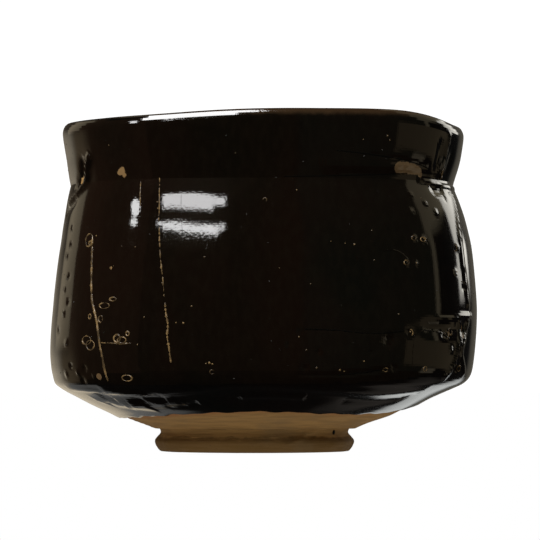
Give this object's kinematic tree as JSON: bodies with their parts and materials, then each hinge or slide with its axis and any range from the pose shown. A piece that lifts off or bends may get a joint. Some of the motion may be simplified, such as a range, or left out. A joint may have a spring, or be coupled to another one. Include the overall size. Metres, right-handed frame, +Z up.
{
  "type": "matcha bowl",
  "caption": "Black-glazed matcha bowl, a hand-formed rounded square with a collared lip, a waist, a full belly, a sharp hip and a low bare clay foot.",
  "frame": {"origin": "on the standing plane, under the middle of the bowl's bounding box", "axes": "+Z up out of the bowl's mouth, +X along the bowl's width, and the front faces -Y"},
  "size_m": [0.118, 0.111, 0.0926],
  "materials": {
    "clay": "bare buff stoneware, matte, finely streaked by turning",
    "foot_clay": "bare buff stoneware, matte, darker where it was handled and stands",
    "outside_glaze": "thick glossy black-brown glaze with pinholes, crawl rings and drips",
    "inside_glaze": "glossy black glaze, pooled a little on the floor"
  },
  "bodies": {
    "root": {"clay_body": "clay", "foot_ring": "foot_clay", "outer_glaze": "outside_glaze", "inner_glaze": "inside_glaze", "glaze_drop": "outside_glaze"}
  },
  "joints": []
}
